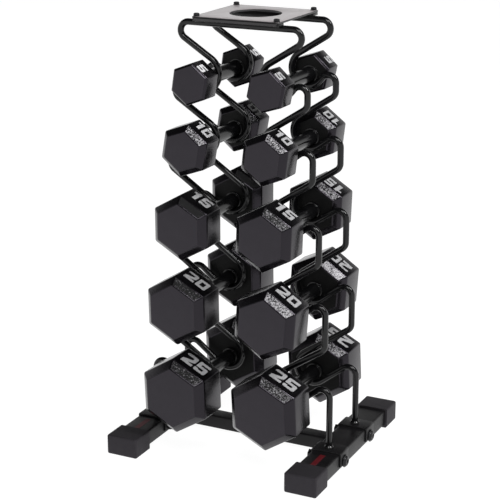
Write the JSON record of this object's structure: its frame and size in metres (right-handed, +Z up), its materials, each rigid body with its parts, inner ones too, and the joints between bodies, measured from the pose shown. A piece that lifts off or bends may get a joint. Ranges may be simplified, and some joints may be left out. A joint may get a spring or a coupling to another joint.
{
  "type": "loaded dumbbell rack",
  "caption": "Upright stand of bent steel rods on two floor rails under a flat top plate, with hexagonal dumbbells in pairs down both sides; each lifts out of its cradles.",
  "frame": {"origin": "on the floor, under the middle of the stand", "axes": "+Z up, -Y towards a person who faces the front of the rack, +X to that person's right, across the two columns"},
  "size_m": [0.4102, 0.366, 0.7676],
  "materials": {
    "black_steel": "glossy black powder coat",
    "rail_steel": "finely textured black powder coat",
    "plate_steel": "satin light warm grey paint",
    "black_fasteners": "black zinc with a soft shine",
    "cap_rubber": "matte moulded rubber",
    "head_rubber_iron": "cast iron under a smooth dark grey rubber coat",
    "grip_steel": "glossy black coat over steel"
  },
  "bodies": {
    "rack": {"front_left_rod": "black_steel", "front_left_saddle": "black_steel", "front_left_rail_bolt": "black_fasteners", "front_left_rail_nut": "black_fasteners", "front_left_end_cap": "cap_rubber", "front_left_plate_bolt": "black_fasteners", "front_right_rod": "black_steel", "front_right_saddle": "black_steel", "front_right_rail_bolt": "black_fasteners", "front_right_rail_nut": "black_fasteners", "front_right_end_cap": "cap_rubber", "front_right_plate_bolt": "black_fasteners", "rear_left_rod": "black_steel", "rear_left_saddle": "black_steel", "rear_left_rail_bolt": "black_fasteners", "rear_left_rail_nut": "black_fasteners", "rear_left_end_cap": "cap_rubber", "rear_left_plate_bolt": "black_fasteners", "rear_right_rod": "black_steel", "rear_right_saddle": "black_steel", "rear_right_rail_bolt": "black_fasteners", "rear_right_rail_nut": "black_fasteners", "rear_right_end_cap": "cap_rubber", "rear_right_plate_bolt": "black_fasteners", "left_rail": "rail_steel", "right_rail": "rail_steel", "cross_tube": "rail_steel", "top_plate": "plate_steel"},
    "left_5": {"left_5_front_head": "head_rubber_iron", "left_5_handle": "grip_steel", "left_5_rear_head": "head_rubber_iron"},
    "right_5": {"right_5_front_head": "head_rubber_iron", "right_5_handle": "grip_steel", "right_5_rear_head": "head_rubber_iron"},
    "left_10": {"left_10_front_head": "head_rubber_iron", "left_10_handle": "grip_steel", "left_10_rear_head": "head_rubber_iron"},
    "right_10": {"right_10_front_head": "head_rubber_iron", "right_10_handle": "grip_steel", "right_10_rear_head": "head_rubber_iron"},
    "left_15": {"left_15_front_head": "head_rubber_iron", "left_15_handle": "grip_steel", "left_15_rear_head": "head_rubber_iron"},
    "right_15": {"right_15_front_head": "head_rubber_iron", "right_15_handle": "grip_steel", "right_15_rear_head": "head_rubber_iron"},
    "left_20": {"left_20_front_head": "head_rubber_iron", "left_20_handle": "grip_steel", "left_20_rear_head": "head_rubber_iron"},
    "right_20": {"right_20_front_head": "head_rubber_iron", "right_20_handle": "grip_steel", "right_20_rear_head": "head_rubber_iron"},
    "left_25": {"left_25_front_head": "head_rubber_iron", "left_25_handle": "grip_steel", "left_25_rear_head": "head_rubber_iron"},
    "right_25": {"right_25_front_head": "head_rubber_iron", "right_25_handle": "grip_steel", "right_25_rear_head": "head_rubber_iron"}
  },
  "joints": [
    {"name": "left_5_lift", "type": "slide", "parent": "rack", "child": "left_5", "axis": [-0.7071, 0, 0.7071], "range_m": [0, 0.25]},
    {"name": "right_5_lift", "type": "slide", "parent": "rack", "child": "right_5", "axis": [0.7071, 0, 0.7071], "range_m": [0, 0.25]},
    {"name": "left_10_lift", "type": "slide", "parent": "rack", "child": "left_10", "axis": [-0.7986, 0, 0.6018], "range_m": [0, 0.25]},
    {"name": "right_10_lift", "type": "slide", "parent": "rack", "child": "right_10", "axis": [0.7986, 0, 0.6018], "range_m": [0, 0.25]},
    {"name": "left_15_lift", "type": "slide", "parent": "rack", "child": "left_15", "axis": [-0.7986, 0, 0.6018], "range_m": [0, 0.25]},
    {"name": "right_15_lift", "type": "slide", "parent": "rack", "child": "right_15", "axis": [0.7986, 0, 0.6018], "range_m": [0, 0.25]},
    {"name": "left_20_lift", "type": "slide", "parent": "rack", "child": "left_20", "axis": [-0.7986, 0, 0.6018], "range_m": [0, 0.25]},
    {"name": "right_20_lift", "type": "slide", "parent": "rack", "child": "right_20", "axis": [0.7986, 0, 0.6018], "range_m": [0, 0.25]},
    {"name": "left_25_lift", "type": "slide", "parent": "rack", "child": "left_25", "axis": [-0.7986, 0, 0.6018], "range_m": [0, 0.25]},
    {"name": "right_25_lift", "type": "slide", "parent": "rack", "child": "right_25", "axis": [0.7986, 0, 0.6018], "range_m": [0, 0.25]}
  ]
}
